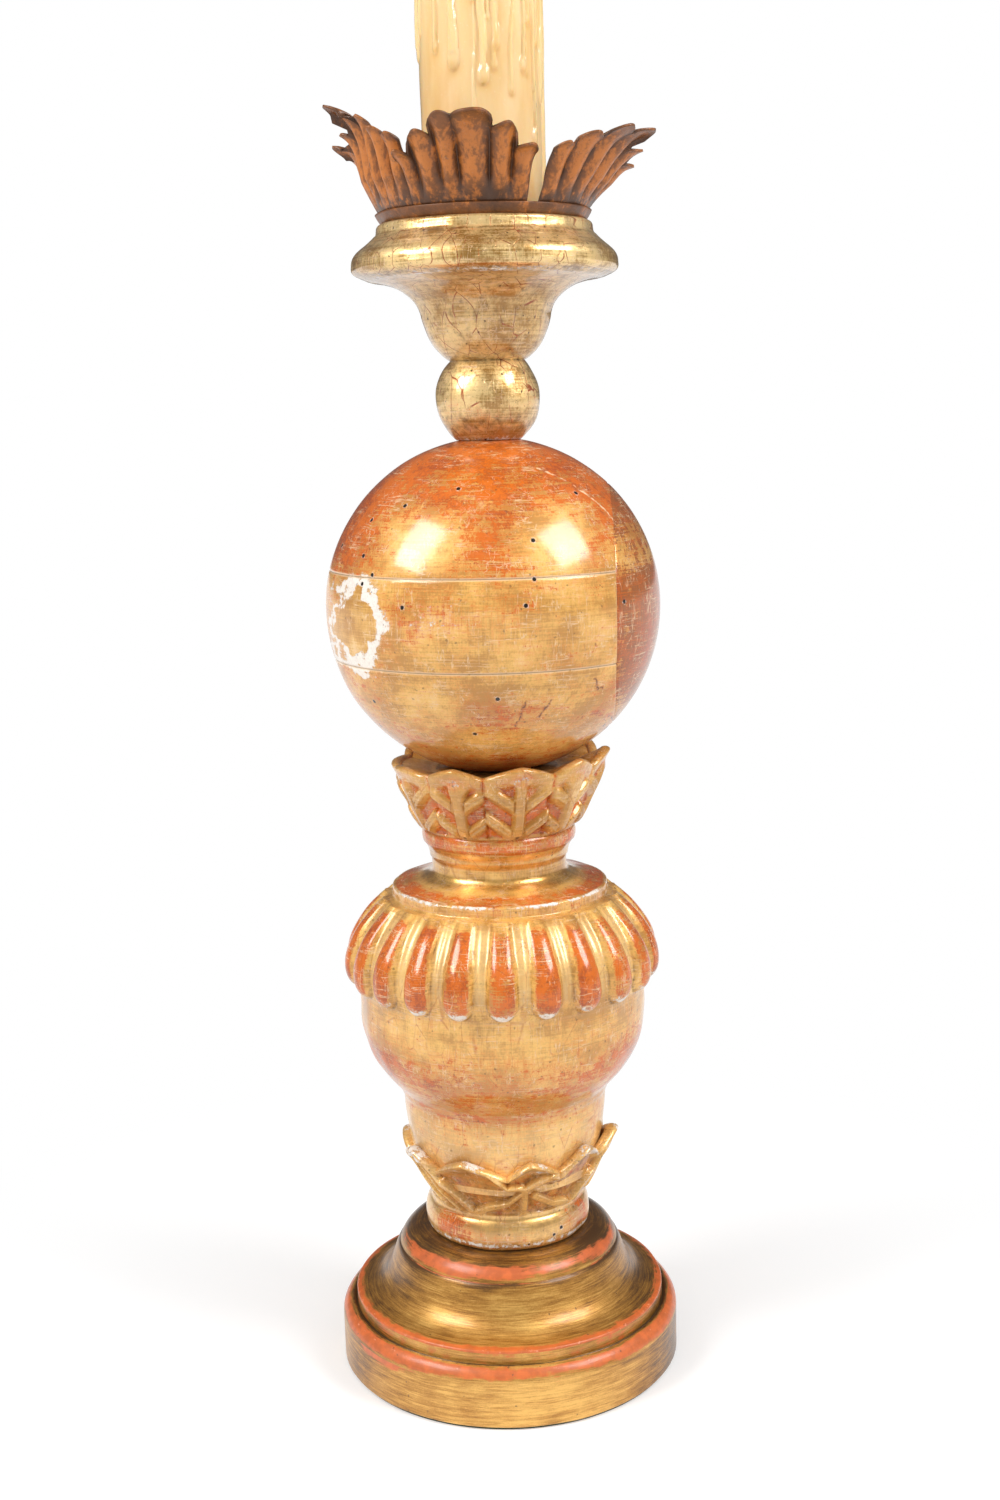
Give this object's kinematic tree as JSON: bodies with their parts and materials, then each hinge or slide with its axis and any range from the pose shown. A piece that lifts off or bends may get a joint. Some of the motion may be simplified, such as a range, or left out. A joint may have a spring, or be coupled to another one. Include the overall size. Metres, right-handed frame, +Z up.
{
  "type": "altar candlestick",
  "caption": "Turned and carved giltwood altar candlestick with a ball knop, gadrooned vase, leafed iron drip pan on a pricket, and a dripping wax candle.",
  "frame": {"origin": "centre of the underside, on the table", "axes": "+Z up along the turning axis, -Y to the viewer of the picture, +X to the viewer's right"},
  "size_m": [0.137, 0.137, 0.6075],
  "materials": {
    "baize": "dark green wool baize glued under the foot",
    "bronzed_foot": "dark bronze-gold brushed paint with red-orange wear at the edges",
    "worn_gilding": "old gold leaf on red bole, worn to bole and white gesso on the carving",
    "ball_gilding": "old gold leaf worn to orange bole, with wormholes and a patch of bare gesso",
    "bare_bole": "red-brown bole with little gold left",
    "dull_gilding": "dull gold leaf with dark dirt and fine cracks",
    "wrought_iron": "dark wrought iron",
    "toleware": "rusty orange-brown painted sheet iron, dark in the hollows",
    "wax": "warm cream wax with glossy drips",
    "wick": "burnt cotton wick"
  },
  "bodies": {
    "stick": {"baize_disc": "baize", "foot": "bronzed_foot", "baluster": "worn_gilding", "ball_lower_block": "ball_gilding", "ball_middle_block": "ball_gilding", "ball_upper_block": "ball_gilding", "ball_side_block": "bare_bole", "cup": "dull_gilding", "pricket_rod": "wrought_iron", "foot_washer": "wrought_iron", "foot_nut": "wrought_iron", "cup_washer": "wrought_iron", "cup_nut": "wrought_iron"},
    "pan": {"pan_dish": "toleware", "leaf_front": "toleware", "leaf_right": "toleware", "leaf_back": "toleware", "leaf_left": "toleware"},
    "candle": {"candle": "wax", "wick": "wick"}
  },
  "joints": [
    {"name": "pan_lift", "type": "slide", "parent": "stick", "child": "pan", "axis": [0, 0, 1], "range_m": [0, 0.06]},
    {"name": "candle_lift", "type": "slide", "parent": "pan", "child": "candle", "axis": [0, 0, 1], "range_m": [0, 0.06]}
  ]
}
